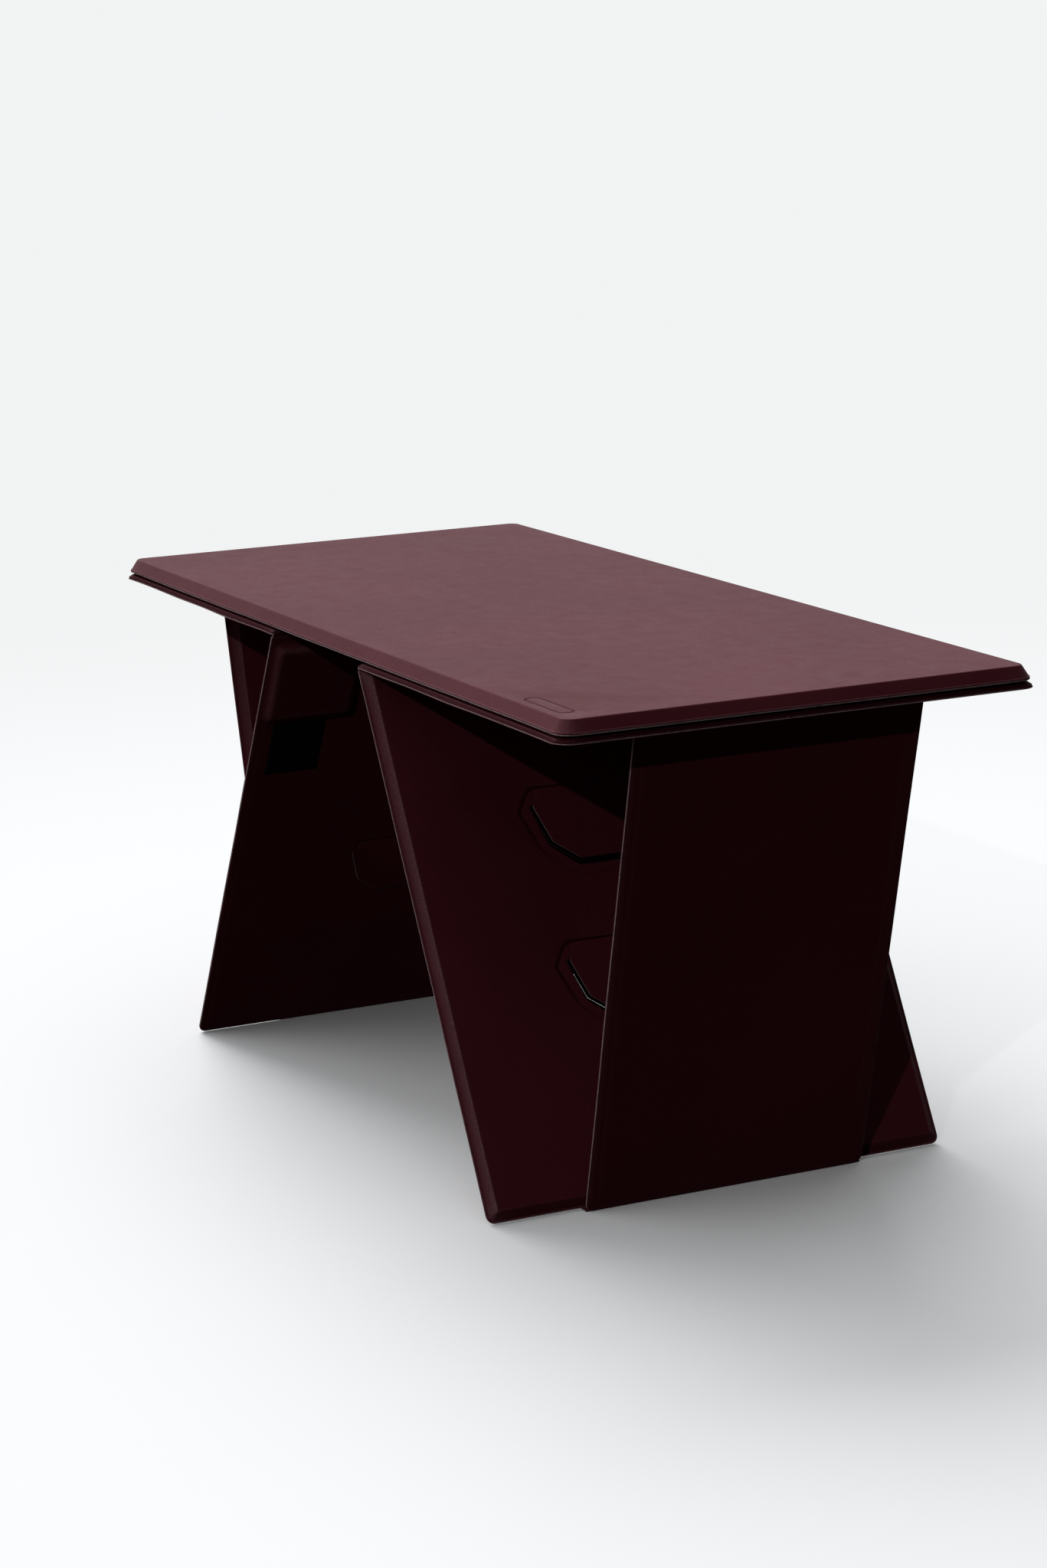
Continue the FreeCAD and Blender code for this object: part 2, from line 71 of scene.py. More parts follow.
# ------------------------------------------------------------------ shader graphs
class Graph:
    """The emptied node tree of a material or world, with short calls that fill it."""

    def __init__(self, owner):
        owner.use_nodes = True
        self.owner = owner
        self.nodes = owner.node_tree.nodes
        self.links = owner.node_tree.links
        self.nodes.clear()

    def feed(self, socket, value):
        """Links an output to the socket, or sets the socket's value."""
        if hasattr(value, "links"):
            self.links.new(value, socket)
        elif socket.type == "RGBA":
            socket.default_value = (*value, 1.0)
        else:
            socket.default_value = value

    def node(self, kind, inputs=None, **settings):
        made = self.nodes.new("ShaderNode" + kind)
        for key, value in settings.items():
            setattr(made, key, value)
        for key, value in (inputs or {}).items():
            self.feed(made.inputs[key], value)
        return made

    def mix(self, kind, factor, base, over):
        inputs = {"Factor": factor, 6: base, 7: over}
        return self.node("Mix", inputs, data_type="RGBA", blend_type=kind).outputs[2]

    def mix_shaders(self, factor, first, second):
        return self.node("MixShader", {0: factor, 1: first, 2: second}).outputs[0]

    def scaled(self, value, by, plus=None, clamp=False):
        """value * by, or value * by + plus."""
        inputs = {0: value, 1: by}
        if plus is not None:
            inputs[2] = plus
        kind = "MULTIPLY" if plus is None else "MULTIPLY_ADD"
        return self.node("Math", inputs, operation=kind, use_clamp=clamp).outputs[0]

    def noise(self, place, scale, detail=3.0, roughness=0.5):
        inputs = {"Scale": scale, "Detail": detail, "Roughness": roughness, "Vector": place}
        return self.node("TexNoise", inputs).outputs["Fac"]

    def fade(self, value, low, high, to_low=0.0, to_high=1.0):
        """Smooth change from to_low to to_high as the value goes from low to high."""
        inputs = {
            "From Min": low, "From Max": high, "To Min": to_low, "To Max": to_high,
            "Value": value,
        }
        made = self.node("MapRange", inputs, clamp=True, interpolation_type="SMOOTHSTEP")
        return made.outputs["Result"]

    def attribute(self, name):
        return self.node("Attribute", attribute_name=name).outputs["Fac"]

    def bump(self, height, strength, distance, normal=None):
        inputs = {"Strength": strength, "Distance": distance, "Height": height}
        if normal is not None:
            inputs["Normal"] = normal
        return self.node("Bump", inputs).outputs[0]


def start_surface(name):
    """A new material: its graph, a feeder for its Principled inputs, and object coordinates."""
    graph = Graph(bpy.data.materials.new(name))
    shader = graph.node("BsdfPrincipled")
    graph.node("OutputMaterial", {0: shader.outputs[0]})

    def finish(values):
        for key, value in values.items():
            graph.feed(shader.inputs[key], value)
        return graph.owner

    return graph, finish, graph.node("TexCoord").outputs["Object"]


# ------------------------------------------------------------------ materials
def leather(name, dark, light, roughness, sheen, grain=0.9):
    """Fine pebbled leather: cell grain, pores, mottled dye, paler worn crests."""
    graph, finish, place = start_surface(name)
    # The grain cells wander a little, as embossed grain does.
    wander = graph.noise(place, scale=260.0, detail=2.0)
    shifted = graph.node(
        "VectorMath", {0: wander, 1: (0.0006, 0.0006, 0.0006), 2: place},
        operation="MULTIPLY_ADD",
    )
    cells = graph.node(
        "TexVoronoi",
        {"Scale": 1350.0, "Smoothness": 0.35, "Vector": shifted.outputs[0]},
        feature="SMOOTH_F1",
    ).outputs["Distance"]
    fine = graph.noise(place, scale=2600.0)
    broad = graph.noise(place, scale=9.0, detail=4.0, roughness=0.55)
    medium = graph.noise(place, scale=70.0, roughness=0.6)

    # Mottled dye, darker in the valleys between cells and in the pores.
    colour = graph.mix("MIX", graph.fade(broad, low=0.35, high=0.68), dark, light)
    valley = graph.fade(cells, low=0.45, high=0.95)
    colour = graph.mix("MULTIPLY", graph.scaled(valley, by=0.35), colour, (0.55, 0.5, 0.52))
    pores = graph.fade(fine, low=0.64, high=0.78)
    colour = graph.mix("MULTIPLY", graph.scaled(pores, by=0.3), colour, (0.6, 0.55, 0.55))

    # Crests and corners rub paler.
    scuff = graph.noise(place, scale=900.0, detail=4.0, roughness=0.7)
    scuff = graph.scaled(graph.fade(scuff, low=0.42, high=0.72), by=0.6, plus=0.4)
    rubbed = graph.scaled(graph.attribute("wear"), by=scuff, clamp=True)
    colour = graph.mix("MIX", rubbed, colour, (0.30, 0.17, 0.19))

    # Painted shade: the shade attribute, set in grooves, along tab creases and over the mount
    # panels, darkens the colour and cuts the specular and sheen.
    painted_shade = graph.attribute("painted_shade")
    shade_mix = graph.scaled(painted_shade, by=0.85, clamp=True)
    colour = graph.mix("MULTIPLY", shade_mix, colour, (0.30, 0.24, 0.26))
    shine = graph.scaled(painted_shade, by=-0.9, plus=1.0, clamp=True)
    rough = graph.scaled(medium, by=0.16, plus=roughness - 0.08)

    # Grain and pores lie over a slow unevenness of the laminate.
    height = graph.scaled(fine, by=0.25, plus=graph.scaled(cells, by=-0.7))
    uneven = graph.bump(medium, strength=0.08, distance=0.0004)
    return finish({
        "Base Color": colour,
        "Roughness": graph.scaled(valley, by=0.08, plus=rough, clamp=True),
        "Specular IOR Level": graph.scaled(shine, by=0.115),
        "Sheen Weight": graph.scaled(shine, by=sheen),
        "Sheen Roughness": 0.45,
        "Sheen Tint": (1.0, 0.62, 0.70),
        "Normal": graph.bump(height, strength=0.22 * grain, distance=0.00012, normal=uneven),
    })


def cut_edge(name, dark, light):
    """Raw cut edge of leather: fibrous, with darker dye soaked in here and there."""
    graph, finish, place = start_surface(name)
    stretched = graph.node("Mapping", {"Scale": (1.0, 1.0, 2.6), "Vector": place}).outputs[0]
    fibre = graph.noise(stretched, scale=1500.0, detail=4.0, roughness=0.65)
    soak = graph.noise(place, scale=160.0, roughness=0.6)
    colour = graph.mix("MIX", graph.fade(fibre, low=0.35, high=0.65), dark, light)
    soaked = graph.fade(soak, low=0.5, high=0.75)
    return finish({
        "Base Color": graph.mix("MULTIPLY", soaked, colour, (0.62, 0.5, 0.52)),
        "Roughness": 0.85,
        "Specular IOR Level": 0.25,
        "Normal": graph.bump(fibre, strength=0.5, distance=0.0002),
    })


def fibreboard(name, dark, light):
    """Dark flaky board."""
    graph, finish, place = start_surface(name)
    flake = graph.noise(place, scale=700.0, detail=6.0, roughness=0.7)
    broad = graph.noise(place, scale=40.0)
    colour = graph.mix("MIX", graph.fade(flake, low=0.35, high=0.65), dark, light)
    stained = graph.fade(broad, low=0.4, high=0.7)
    return finish({
        "Base Color": graph.mix("MULTIPLY", stained, colour, (0.75, 0.72, 0.7)),
        "Roughness": 0.9,
        "Specular IOR Level": 0.08,
        "Normal": graph.bump(flake, strength=0.5, distance=0.0003),
    })


def metal(name, colour, roughness):
    """Metal with a light haze."""
    graph, finish, place = start_surface(name)
    haze = graph.noise(place, scale=300.0, detail=4.0, roughness=0.6)
    dulled = tuple(channel * 0.8 for channel in colour)
    return finish({
        "Base Color": graph.mix("MIX", graph.fade(haze, low=0.3, high=0.7), colour, dulled),
        "Metallic": 1.0,
        "Roughness": graph.scaled(haze, by=0.2, plus=roughness - 0.1, clamp=True),
    })


def pile_fabric(name, tips, roots):
    """Hook and loop tape: short dense pile."""
    graph, finish, place = start_surface(name)
    loops = graph.node("TexVoronoi", {"Scale": 1600.0, "Vector": place}).outputs["Distance"]
    fuzz = graph.noise(place, scale=2400.0, detail=4.0, roughness=0.7)
    height = graph.scaled(loops, by=-1.0, plus=fuzz)
    return finish({
        "Base Color": graph.mix("MIX", graph.fade(loops, low=0.2, high=0.8), tips, roots),
        "Roughness": 0.95,
        "Specular IOR Level": 0.15,
        "Normal": graph.bump(height, strength=0.8, distance=0.0003),
    })


COVER = leather(
    "leather_cover", dark=(0.099, 0.0138, 0.0222), light=(0.112, 0.0168, 0.0265),
    roughness=0.50, sheen=0.06,
)
BASE = leather(
    "leather_base", dark=(0.102, 0.0143, 0.0225), light=(0.116, 0.0172, 0.0268),
    roughness=0.54, sheen=0.05,
)
WEB = leather(
    "leather_crease", dark=(0.078, 0.0112, 0.0178), light=(0.100, 0.0152, 0.0238),
    roughness=0.52, sheen=0.05, grain=1.3,
)
EDGE = cut_edge("leather_cut_edge", dark=(0.22, 0.155, 0.16), light=(0.56, 0.45, 0.46))
# Painted shade: the walls of the die-cut openings are near black, like the shade in the narrow
# slits.
DIE_CUT_PAINTED_SHADE = cut_edge("leather_die_cut_painted_shade", dark=(0.014, 0.005, 0.006), light=(0.040, 0.016, 0.018))
FIBRE = fibreboard("fibreboard", dark=(0.0035, 0.0022, 0.0020), light=(0.0085, 0.0055, 0.0048))
NICKEL = metal("nickel", colour=(0.62, 0.62, 0.64), roughness=0.3)
ZINC = metal("zinc_sheet", colour=(0.5, 0.5, 0.52), roughness=0.4)
PILE = pile_fabric("hook_pile", tips=(0.010, 0.010, 0.011), roots=(0.0015, 0.0015, 0.002))


# ------------------------------------------------------------------ curves and paths
def smoothstep(t):
    t = max(0.0, min(1.0, t))
    return t * t * (3 - 2 * t)


def bell(distance, width):
    return math.exp(-((distance / width) ** 2))


def round_corner(before, corner, after, radius, steps, limit):
    """Points of a curve that cuts a corner; it takes at most the limit share of each side."""
    before, corner, after = Vector(before), Vector(corner), Vector(after)
    start = corner + (before - corner).normalized() * min(radius, (before - corner).length * limit)
    end = corner + (after - corner).normalized() * min(radius, (after - corner).length * limit)
    points = []
    for i in range(steps + 1):
        t = i / steps
        points.append(tuple(start * (1 - t) ** 2 + corner * 2 * t * (1 - t) + end * t * t))
    return points


def round_open(points, radii, steps=5):
    """An open path with its corners rounded; a radius of 0 keeps a corner sharp."""
    rounded = [tuple(points[0])]
    for i, radius in enumerate(radii, 1):
        if radius > 0:
            rounded += round_corner(*points[i - 1:i + 2], radius, steps, limit=0.49)
        else:
            rounded.append(tuple(Vector(points[i])))
    rounded.append(tuple(points[-1]))
    return rounded


def round_closed(points, radius, steps=3):
    rounded = []
    for i, point in enumerate(points):
        after = points[(i + 1) % len(points)]
        rounded += round_corner(points[i - 1], point, after, radius, steps, limit=0.45)
    return rounded


def bezier(start, start_pull, end_pull, end, steps):
    points = []
    for i in range(steps + 1):
        t = i / steps
        points.append(tuple(
            Vector(start) * (1 - t) ** 3 + Vector(start_pull) * 3 * t * (1 - t) ** 2
            + Vector(end_pull) * 3 * t * t * (1 - t) + Vector(end) * t ** 3
        ))
    return points


def capsule(centre_x, centre_y, length, width, steps=10):
    """A plain pill shape lying along X."""
    radius, half = width / 2, length / 2 - width / 2
    points = []
    for sign, first in ((1, -90), (-1, 90)):
        for i in range(steps + 1):
            angle = math.radians(first + 180 * i / steps)
            x = centre_x + sign * half + radius * math.cos(angle)
            points.append((x, centre_y + radius * math.sin(angle)))
    return points


def mirrored(points):
    """The half path at -Y, then back along its mirror image at +Y."""
    return [(x, -y) for x, y in points] + [(x, y) for x, y in reversed(points)]


def inside(point, polygon):
    x, y = point
    hit = False
    for i, (ax, ay) in enumerate(polygon):
        bx, by = polygon[(i + 1) % len(polygon)]
        if (ay > y) != (by > y) and x < (bx - ax) * (y - ay) / (by - ay) + ax:
            hit = not hit
    return hit


def offset_path(path, distance, closed):
    """The path moved sideways with mitred corners; positive to the left."""
    count = len(path)
    moved = []
    for i in range(count):
        here = Vector(path[i])
        ways = []
        if closed or i > 0:
            ways.append((here - Vector(path[i - 1])).normalized())
        if closed or i < count - 1:
            ways.append((Vector(path[(i + 1) % count]) - here).normalized())
        mitre = Vector((-ways[0].y, ways[0].x)) + Vector((-ways[-1].y, ways[-1].x))
        mitre = mitre / max(mitre.length_squared, 1e-9) * 2
        moved.append(tuple(here + mitre * distance))
    return moved


def segments(path, closed):
    count = len(path)
    for i in range(count if closed else count - 1):
        yield Vector(path[i]), Vector(path[(i + 1) % count])


def distance_to(point, path, closed):
    best = 1e9
    point = Vector(point)
    for a, b in segments(path, closed):
        t = max(0.0, min(1.0, (point - a).dot(b - a) / max((b - a).length_squared, 1e-12)))
        best = min(best, (point - (a + (b - a) * t)).length)
    return best


def split_path(path, closed, step):
    """The path with points added about every step."""
    points = []
    for a, b in segments(path, closed):
        count = max(1, round((b - a).length / step))
        points += [tuple(a + (b - a) * i / count) for i in range(count)]
    if not closed:
        points.append(tuple(path[-1]))
    return points


# Rectangle with corner radii in the order (x0, y0), (x1, y0), (x1, y1), (x0, y1).
Outline = namedtuple("Outline", "x0 x1 y0 y1 radii")


def inset_at(outline, x, y):
    return min(x - outline.x0, outline.x1 - x, y - outline.y0, outline.y1 - y)


def ring(outline, inset, least_radius=1.0, arc_steps=7, step=9.0):
    """Rounded rectangle moved inwards; every inset gives the same number of points."""
    x0, x1, y0, y1, radii = outline
    count_x = max(2, round((x1 - x0) / step))
    count_y = max(2, round((y1 - y0) / step))
    r0, r1, r2, r3 = [max(r - inset, min(r, least_radius)) for r in radii]
    x0, x1, y0, y1 = x0 + inset, x1 - inset, y0 + inset, y1 - inset

    def side(ax, ay, bx, by, count):
        return [(ax + (bx - ax) * i / count, ay + (by - ay) * i / count) for i in range(count)]

    def arc(centre_x, centre_y, radius, first):
        angles = [math.radians(first + 90 * i / arc_steps) for i in range(arc_steps)]
        return [(centre_x + radius * math.cos(a), centre_y + radius * math.sin(a)) for a in angles]

    return (
        side(x0 + r0, y0, x1 - r1, y0, count_x) + arc(x1 - r1, y0 + r1, r1, 270)
        + side(x1, y0 + r1, x1, y1 - r2, count_y) + arc(x1 - r2, y1 - r2, r2, 0)
        + side(x1 - r2, y1, x0 + r3, y1, count_x) + arc(x0 + r3, y1 - r3, r3, 90)
        + side(x0, y1 - r3, x0, y0 + r0, count_y) + arc(x0 + r0, y0 + r0, r0, 180)
    )


# ------------------------------------------------------------------ meshes
def cap(boundary, height, holes=(), rows=()):
    """Faces between a boundary (x, y, z) and its holes.
    height(x, y) sets the inner points; rows are extra (path, closed) lines that carry relief."""
    points, edges = [], []

    def add(path, closed):
        first = len(points)
        points.extend(path)
        count = len(path)
        for i in range(count if closed else count - 1):
            edges.append((first + i, first + (i + 1) % count))

    flat_boundary = [(x, y) for x, y, _ in boundary]
    add(flat_boundary, True)
    for hole in holes:
        add(hole, True)
    for path, closed in rows:
        add(path, closed)
    flat, _, triangles, sources, *_ = geometry.delaunay_2d_cdt(
        [Vector(point) for point in points], edges, [], 0, 1e-6
    )
    spots = []
    for point, source in zip(flat, sources):
        if source and min(source) < len(boundary):
            spots.append(tuple(boundary[min(source)]))
        else:
            x, y = points[min(source)] if source else point
            spots.append((x, y, height(x, y)))
    faces = []
    for triangle in triangles:
        face = [spots[i] for i in triangle]
        centre = (sum(p[0] for p in face) / len(face), sum(p[1] for p in face) / len(face))
        if inside(centre, flat_boundary) and not any(inside(centre, hole) for hole in holes):
            faces.append(face)
    return faces


class Shape:
    """Collects faces in millimetres in a local frame and welds them into a mesh object."""

    def __init__(self):
        self.faces = []

    def add(self, faces, slot=0):
        self.faces += [(face, slot) for face in faces]

    def band(self, first, second, slot=0):
        """Quads between two closed loops."""
        for i in range(len(first)):
            j = (i + 1) % len(first)
            self.faces.append(([first[i], first[j], second[j], second[i]], slot))

    def rings(self, rings, slots=None):
        for i in range(len(rings) - 1):
            self.band(rings[i], rings[i + 1], slots[i] if slots else 0)

    def weld(self):
        mesh = bmesh.new()
        known = {}
        for points, slot in self.faces:
            corners = []
            for x, y, z in points:
                key = (round(x, 3), round(y, 3), round(z, 3))
                if key not in known:
                    known[key] = mesh.verts.new((x, y, z))
                if known[key] not in corners:
                    corners.append(known[key])
            if len(corners) < 3:
                continue
            # A face on the same vertices as an earlier one is refused; the first one stays.
            try:
                face = mesh.faces.new(corners)
            except ValueError:
                continue
            face.material_index = slot
            face.smooth = True
        bmesh.ops.remove_doubles(mesh, verts=mesh.verts, dist=0.004)
        bmesh.ops.recalc_face_normals(mesh, faces=mesh.faces)
        return mesh

    def make(self, name, frame, materials, sharp=38.0, wear=None, painted_shade=None):
        """wear and the painted shade are functions of x, y, z that become point attributes."""
        welded = self.weld()
        mesh = bpy.data.meshes.new(name)
        welded.to_mesh(mesh)
        welded.free()
        for label, value_at in (("painted_shade", painted_shade), ("wear", wear)):
            if value_at is not None:
                attribute = mesh.attributes.new(label, "FLOAT", "POINT")
                values = [value_at(*vertex.co) for vertex in mesh.vertices]
                attribute.data.foreach_set("value", values)
        mesh.transform(frame @ Matrix.Scale(MM, 4))
        for material in materials:
            mesh.materials.append(material)
        mesh.set_sharp_from_angle(angle=math.radians(sharp))
        piece = bpy.data.objects.new(name, mesh)
        bpy.context.scene.collection.objects.link(piece)
        return piece


def register(piece, node, body):
    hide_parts(node)
    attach(piece, body)


# ------------------------------------------------------------------ frames from the CAD
def node_points(node):
    return [vertex.co for vertex in NODES[node].data.vertices]


def local_box(node, frame):
    """Lowest and highest corner of a CAD node in a frame, mm."""
    inverse = frame.inverted()
    points = [inverse @ point for point in node_points(node)]
    low = [min(point[i] for point in points) / MM for i in range(3)]
    high = [max(point[i] for point in points) / MM for i in range(3)]
    return low, high


def outline_of(node, frame, radii):
    low, high = local_box(node, frame)
    return Outline(low[0], high[0], low[1], high[1], radii)


def in_section(point):
    """The point moved along Y into the XZ plane."""
    return Vector((point[0], 0, point[2]))


def panel_frame(foot, top, middle):
    """Frame of a leaning panel: origin on its foot line, X up the panel,
    Z towards the inside of the leg, which lies in the middle direction."""
    x = (top - foot).normalized()
    z = Vector((-x.z, 0, x.x))
    if z.dot(middle) < 0:
        z = -z
    frame = Matrix((x, z.cross(x), z)).transposed().to_4x4()
    frame.translation = foot
    return frame


def leg_frames(side, sign):
    """Frames of a leg's mount, inner and outer panels; sign is the leg's side along X."""
    mount = Matrix.Identity(4) if sign < 0 else Matrix.Rotation(math.pi, 4, "Z")
    points = node_points(side + "_inner_base_skin")
    foot = in_section(min(points, key=lambda p: (round(p.z, 6), sign * p.x)))
    fold = in_section(JOINTS[side + "_inner_fold"]["pos_m"])
    inner = panel_frame(foot, fold, Vector((sign, 0, 0)))
    points = node_points(side + "_outer_base_skin")
    foot = in_section(min(points, key=lambda p: (round(p.z, 6), -sign * p.x)))
    top = in_section(max(points, key=lambda p: round(sign * p.x, 6)))
    outer = panel_frame(foot, top, Vector((-sign, 0, 0)))
    return mount, inner, outer


# ------------------------------------------------------------------ panels
CLEARANCE = 0.02  # gap kept between neighbouring sheets, mm
# Lines across a groove that carry its relief, in groove widths.
GROOVE_ROWS = (-1.6, -1.05, -0.5, 0.0, 0.5, 1.05, 1.6)


class Groove(namedtuple("Groove", "path width depth closed fade_from")):
    """An embossed line, carrying painted shade as deep as it is. It grows faint towards X =
    fade_from; None keeps it even.
    """

    def share(self, x, y, spread):
        """Share of the full depth at a point, with a bell section spread widths wide."""
        distance = distance_to((x, y), self.path, self.closed)
        if distance >= self.width * 3:
            return 0.0
        even = self.fade_from is None
        strength = 1.0 if even else 0.28 + 0.72 * smoothstep((x - self.fade_from) / 28.0)
        return strength * bell(distance, self.width * spread)

    def rows(self, openings):
        """Relief lines as (path, closed); open lines are broken where they meet an opening."""
        found = []
        for place in GROOVE_ROWS:
            line = offset_path(self.path, place * self.width, self.closed)
            if self.closed:
                found.append((line, True))
                continue
            run = []
            for point in split_path(line, False, 2.0) + [None]:
                if point is not None and not any(
                    inside(point, opening) or distance_to(point, opening, True) < 0.5
                    for opening in openings
                ):
                    run.append(point)
                    continue
                if len(run) > 2:
                    found.append((run, False))
                run = []
        return found


@dataclass
class Panel:
    """A moulded cover over a flat base skin, round the CAD core. Lengths in mm."""

    name: str
    body: str
    frame: Matrix
    radii: list           # corner radii, in Outline's order
    skin: float           # leather thickness
    step: float           # width of the flat flange round the cover
    bevel: float          # inset of the top of the bevel
    seed: int             # picks the waviness of the lip
    sag: float = 0.0      # drop of the crest below the face
    crest: float = 0.4    # rounding of the crest
    rub: float = 0.5      # wear along the crest
    openings: tuple = ()  # holes in the cover
    base_openings: tuple = ()
    grooves: tuple = ()

    def __post_init__(self):
        low, high = local_box(self.name + "_cover", self.frame)
        self.bottom, self.top = low[2], high[2]
        self.base_bottom = local_box(self.name + "_base_skin", self.frame)[0][2]
        self.outline = outline_of(self.name + "_cover", self.frame, self.radii)

    def loop(self, inset, z):
        """Outline at an inset; the lip wanders along the long edges, true at the X ends."""
        near_lip = max(0.0, 1.0 - inset / (self.bevel * 0.8))
        points = []
        for x, y in ring(self.outline, inset):
            end_distance = min(x - self.outline.x0, self.outline.x1 - x)
            away_from_ends = max(0.0, min(1.0, end_distance / 22.0))
            spot = Vector((x * 0.018 + self.seed * 7.3, y * 0.018, self.seed * 3.1))
            points.append((x, y, z + 0.40 * noise.noise(spot) * near_lip * away_from_ends))
        return points

    def face_height(self, x, y):
        z = self.top
        for groove in self.grooves:
            z -= groove.depth * groove.share(x, y, 0.85)
        return z

    def cover_wear(self, x, y, z):
        outline, bevel = self.outline, self.bevel
        inset = inset_at(outline, x, y)
        crest = rim = corner = 0.0
        if z > self.top - 0.6 - self.sag:
            long_edge = min(y - outline.y0, outline.y1 - y) <= inset + 1e-6
            crest = bell(inset - bevel, 0.42) * (self.rub if long_edge else self.rub * 0.15)
        if inset < min(0.9, self.step * 0.8):
            rim = 0.35 if x - outline.x0 > 3.0 else 0.6
        if inset < bevel + 1.5 and z > self.bottom + self.skin:
            corners = [(a, b) for a in outline[:2] for b in outline[2:4]]
            corner = 0.9 * math.exp(-min(math.hypot(x - a, y - b) for a, b in corners) / 5.0)
        return min(1.0, crest + rim + corner)

    def cover_painted_shade(self, x, y, z):
        shade = 0.0
        if self.sag:
            # Painted shade over the whole mount cover, which lies in the worktop's shadow; a
            # little less of it on the crest.
            inset = inset_at(self.outline, x, y)
            on_crest = abs(inset - self.bevel) < 0.3 and z > self.top - self.sag - 0.3
            shade = 0.55 if on_crest else 1.0
        # Painted shade in the grooves, as strong as the groove is deep.
        if z > self.top - 1.0:
            for groove in self.grooves:
                shade = max(shade, groove.share(x, y, 0.9))
        return shade

    def build_cover(self):
        top, sag, bevel, skin, step = self.top, self.sag, self.bevel, self.skin, self.step
        low = self.bottom + CLEARANCE
        flange = self.bottom + skin
        # (inset, z): cut edge, flange, hollow, bevel, soft crest, flat face
        profile = round_open(
            [
                (0.0, low), (0.0, flange), (step, flange), (bevel, top - sag),
                (bevel + 1.0, top - sag * 0.85), (bevel + 1.6, top - sag * 0.7),
                (bevel + 4.0, top),
            ],
            [0.16, min(0.6, step * 0.9), self.crest, 0.0, 0.0],
        )
        rings = [self.loop(inset, z) for inset, z in profile]
        shape = Shape()
        shape.rings(rings)
        rows = [row for groove in self.grooves for row in groove.rows(self.openings)]
        shape.add(cap(rings[-1], self.face_height, self.openings, rows))

        # Inner side of the shell, against the core.
        under = top - skin + CLEARANCE
        foot = self.loop(step + skin * 0.88, low)
        ceiling_ring = ring(self.outline, bevel + skin * 0.55 + sag * 3.5)
        ceiling = [(x, y, under) for x, y in ceiling_ring]
        shape.rings([rings[0], foot, ceiling])
        shape.add(cap(ceiling, lambda x, y: under, self.openings))
        # The openings' cut walls carry painted shade.
        for hole in self.openings:
            face = [(x, y, self.face_height(x, y)) for x, y in hole]
            shape.band(face, [(x, y, under) for x, y in hole], slot=2)

        cover = shape.make(
            self.name + "_cover_leather", self.frame, [COVER, EDGE, DIE_CUT_PAINTED_SHADE],
            wear=self.cover_wear, painted_shade=self.cover_painted_shade,
        )
        register(cover, self.name + "_cover", self.body)

    def build_base(self):
        """One flat sheet; a raised line shows faintly through it near the core's edge."""
        bottom, top = self.base_bottom, self.bottom - CLEARANCE
        ghost = self.bevel * 0.95
        leather_slot, edge_slot, cut_slot, board_slot = range(4)
        # (inset, z) up the cut edge
        edge = [(0.20, bottom), (0.05, bottom + 0.08), (0.0, bottom + 0.2), (0.0, top)]
        # (inset, rise) across the lower face
        relief = [
            (0.20, 0.0), (ghost - 2.2, 0.16), (ghost - 1.1, 0.14),
            (ghost - 0.3, 0.03), (ghost + 0.6, 0.0), (ghost + 2.5, 0.0),
        ]
        sheet = Shape()
        edge_rings = [self.loop(inset, z) for inset, z in edge]
        sheet.rings(edge_rings, [edge_slot] * 3)
        inner = self.loop(self.step + self.skin, top)
        sheet.band(edge_rings[-1], inner, leather_slot)
        sheet.add(cap(inner, lambda x, y: top, self.base_openings), board_slot)
        face_rings = [self.loop(inset, bottom + rise) for inset, rise in relief]
        sheet.rings(face_rings)
        sheet.add(cap(face_rings[-1], lambda x, y: bottom, self.base_openings))
        # The openings' cut walls carry painted shade.
        for hole in self.base_openings:
            low_rim = [(x, y, bottom) for x, y in hole]
            sheet.band(low_rim, [(x, y, top) for x, y in hole], cut_slot)

        def wear(x, y, z):
            inset = inset_at(self.outline, x, y)
            return 0.22 if inset < 0.6 else 0.10 * bell(inset - ghost, 1.2)

        base = sheet.make(
            self.name + "_base_leather", self.frame, [BASE, EDGE, DIE_CUT_PAINTED_SHADE, FIBRE], wear=wear
        )
        register(base, self.name + "_base_skin", self.body)

    def build(self):
        self.build_cover()
        self.build_base()


# ------------------------------------------------------------------ worktop board
BOARD_RADII = [11.0] * 4
BOARD_BEVEL = 4.7
MARK_LENGTH, MARK_WIDTH = 46.0, 9.0
MARK_INSET_X, MARK_INSET_Y = 40.0, 10.6  # mark's centre, in from the bevel


def build_board():
    """The board, with a pill-shaped mark embossed near its +X -Y corner."""
    outline = outline_of("top_board_cover", WORLD, BOARD_RADII)
    mark = capsule(
        outline.x1 - BOARD_BEVEL - MARK_INSET_X, outline.y0 + BOARD_BEVEL + MARK_INSET_Y,
        MARK_LENGTH, MARK_WIDTH,
    )
    groove = Groove(mark, width=0.6, depth=0.55, closed=True, fade_from=None)
    Panel(
        "top_board", "root", WORLD, BOARD_RADII, skin=0.8, step=0.5, bevel=BOARD_BEVEL,
        seed=1, crest=1.0, rub=0.1, grooves=(groove,),
    ).build()


